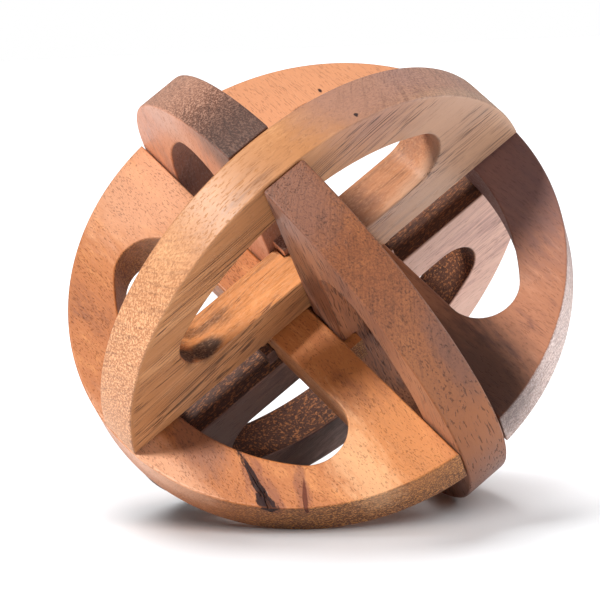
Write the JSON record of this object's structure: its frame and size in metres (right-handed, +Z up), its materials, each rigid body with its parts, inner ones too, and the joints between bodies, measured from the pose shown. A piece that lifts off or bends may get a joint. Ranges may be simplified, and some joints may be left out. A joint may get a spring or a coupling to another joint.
{
  "type": "wooden burr puzzle",
  "caption": "Ball-shaped interlocking wooden burr puzzle of D-shaped boards that cross at right angles and slide apart together.",
  "frame": {"origin": "centre of the ball's footprint, on the surface that its three lowest rims rest on", "axes": "+Z up, along the corner between the three circles; -Y is towards the crown of board_ab_plus, which leans out at the front"},
  "size_m": [0.1, 0.095, 0.0868],
  "materials": {
    "board_ab_plus": "hand-sanded, oiled hardwood",
    "board_ab_minus": "hand-sanded, oiled hardwood",
    "board_bc_plus": "hand-sanded, oiled hardwood",
    "board_bc_minus": "hand-sanded, oiled hardwood",
    "board_ca_plus": "hand-sanded, oiled hardwood",
    "board_ca_minus": "hand-sanded, oiled hardwood"
  },
  "bodies": {
    "bc_minus": {"board_bc_minus": "board_bc_minus"},
    "bc_plus": {"board_bc_plus": "board_bc_plus"},
    "ab_plus": {"board_ab_plus": "board_ab_plus"},
    "ab_minus": {"board_ab_minus": "board_ab_minus"},
    "ca_plus": {"board_ca_plus": "board_ca_plus"},
    "ca_minus": {"board_ca_minus": "board_ca_minus"}
  },
  "joints": [
    {"name": "bc_plus_slide", "type": "slide", "parent": "bc_minus", "child": "bc_plus", "axis": [0.7071, 0.4082, 0.5774], "range_m": [0, 0.11]},
    {"name": "ab_plus_slide", "type": "slide", "parent": "bc_minus", "child": "ab_plus", "axis": [0.5, -0.2887, 0.8165], "range_m": [0, 0.0778]},
    {"name": "ab_minus_slide", "type": "slide", "parent": "bc_minus", "child": "ab_minus", "axis": [0.5, 0.866, 0], "range_m": [0, 0.0778]},
    {"name": "ca_plus_slide", "type": "slide", "parent": "bc_minus", "child": "ca_plus", "axis": [0, 0.5773, 0.8165], "range_m": [0, 0.0778]},
    {"name": "ca_minus_slide", "type": "slide", "parent": "bc_minus", "child": "ca_minus", "axis": [1, 0, 0], "range_m": [0, 0.0778]}
  ],
  "couplings": [
    {"joint": "ab_plus_slide", "follows": "bc_plus_slide", "ratio": 0.70711},
    {"joint": "ab_minus_slide", "follows": "bc_plus_slide", "ratio": 0.70711},
    {"joint": "ca_plus_slide", "follows": "bc_plus_slide", "ratio": 0.70711},
    {"joint": "ca_minus_slide", "follows": "bc_plus_slide", "ratio": 0.70711}
  ]
}
